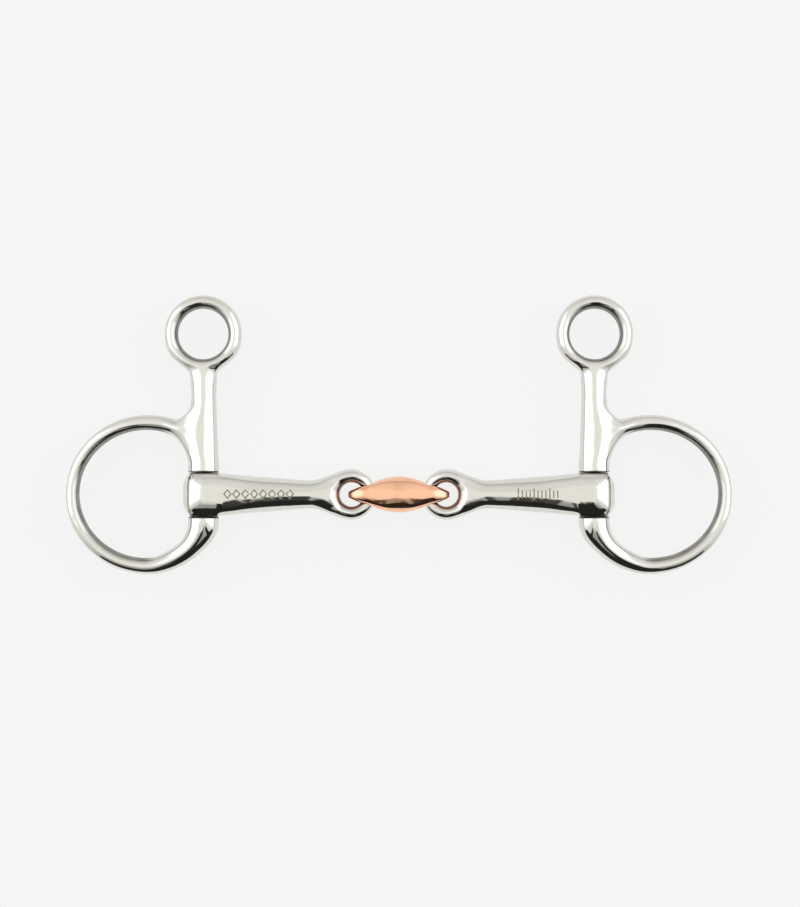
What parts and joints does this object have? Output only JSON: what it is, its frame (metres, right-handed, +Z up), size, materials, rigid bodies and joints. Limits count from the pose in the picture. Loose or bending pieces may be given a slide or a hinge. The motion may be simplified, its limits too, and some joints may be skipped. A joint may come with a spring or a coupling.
{
  "type": "snaffle bit",
  "caption": "Hanging-cheek snaffle bit: a jointed steel mouthpiece with a copper lozenge link, hung on cheeks that each carry a bridle eye and a rein ring.",
  "frame": {"origin": "under the middle of the bounding box, on the surface that the bit lies on", "axes": "+X along the mouthpiece from the left cheek to the right, +Y towards the bridle eyes, +Z up out of the flat bit"},
  "size_m": [0.2584, 0.1082, 0.0158],
  "materials": {
    "cheek_steel": "mirror-polished stainless steel",
    "mouthpiece_steel": "mirror-polished stainless steel",
    "pin_steel": "ground stainless steel",
    "copper": "polished copper"
  },
  "bodies": {
    "link": {"lozenge_link": "copper"},
    "left_arm": {"left_arm": "mouthpiece_steel"},
    "right_arm": {"right_arm": "mouthpiece_steel"},
    "left_cheek": {"left_cheek": "cheek_steel", "left_hinge_pin": "pin_steel"},
    "right_cheek": {"right_cheek": "cheek_steel", "right_hinge_pin": "pin_steel"}
  },
  "joints": [
    {"name": "left_fold", "type": "hinge", "parent": "link", "child": "left_arm", "pos_m": [-0.0117, -0.0232, 0.0078], "axis": [0, 1, 0], "range_deg": [-55, 55]},
    {"name": "right_fold", "type": "hinge", "parent": "link", "child": "right_arm", "pos_m": [0.0117, -0.0232, 0.0078], "axis": [0, 1, 0], "range_deg": [-55, 55]},
    {"name": "left_cheek_turn", "type": "hinge", "parent": "left_arm", "child": "left_cheek", "pos_m": [-0.0759, -0.0232, 0.0078], "axis": [0, 1, 0], "range_deg": [-90, 90]},
    {"name": "right_cheek_turn", "type": "hinge", "parent": "right_arm", "child": "right_cheek", "pos_m": [0.0759, -0.0232, 0.0078], "axis": [0, 1, 0], "range_deg": [-90, 90]}
  ]
}
